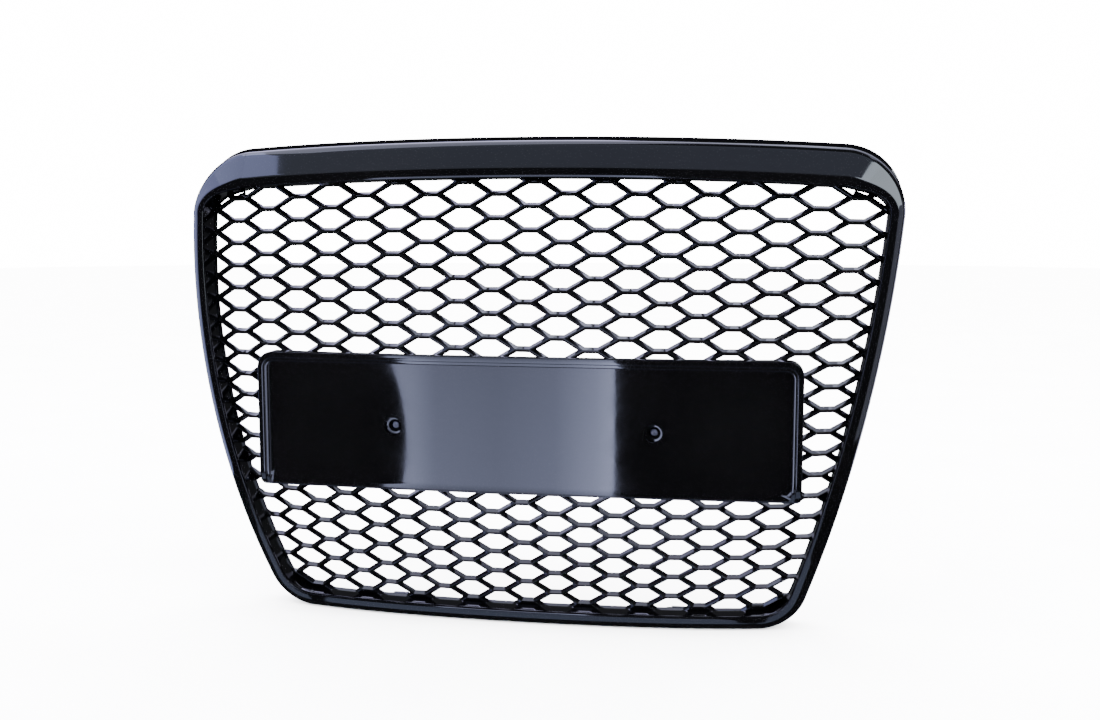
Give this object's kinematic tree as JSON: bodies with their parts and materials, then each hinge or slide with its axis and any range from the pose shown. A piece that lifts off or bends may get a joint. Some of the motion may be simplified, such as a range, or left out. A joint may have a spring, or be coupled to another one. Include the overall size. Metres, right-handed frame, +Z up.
{
  "type": "front grille",
  "caption": "Gloss black front grille of a car: hollow surround ring, bowed honeycomb mesh screwed in from behind, and a number plate carrier with two screw wells.",
  "frame": {"origin": "On the base plane under the middle of the box round the grille: X and Y at the middle of the box, Z at its base.", "axes": "+X to the right seen from the front and along the longest side, +Y to the back of the car and along the shortest side, +Z up."},
  "size_m": [0.7292, 0.1295, 0.493],
  "materials": {
    "surround_gloss": "high gloss black moulding",
    "mesh_gloss": "high gloss black moulding",
    "carrier_gloss": "high gloss black moulding",
    "black_zinc_steel": "black zinc plated steel, satin",
    "zinc_steel": "bright zinc plated steel",
    "spring_steel": "phosphated spring steel"
  },
  "bodies": {
    "root": {"surround_frame": "surround_gloss", "honeycomb_mesh": "mesh_gloss", "plate_carrier": "carrier_gloss", "plate_screw_left": "black_zinc_steel", "plate_screw_right": "black_zinc_steel", "plate_washer_left": "zinc_steel", "plate_washer_right": "zinc_steel", "plate_nut_left": "zinc_steel", "plate_nut_right": "zinc_steel", "side_clips_left": "spring_steel", "side_clips_right": "spring_steel", "mesh_screws_top": "black_zinc_steel", "mesh_screws_base": "black_zinc_steel", "mesh_screws_left": "black_zinc_steel", "mesh_screws_right": "black_zinc_steel", "upper_clip_nuts_inner": "spring_steel", "upper_clip_nuts_outer": "spring_steel", "lower_clip_nuts": "spring_steel"}
  },
  "joints": []
}
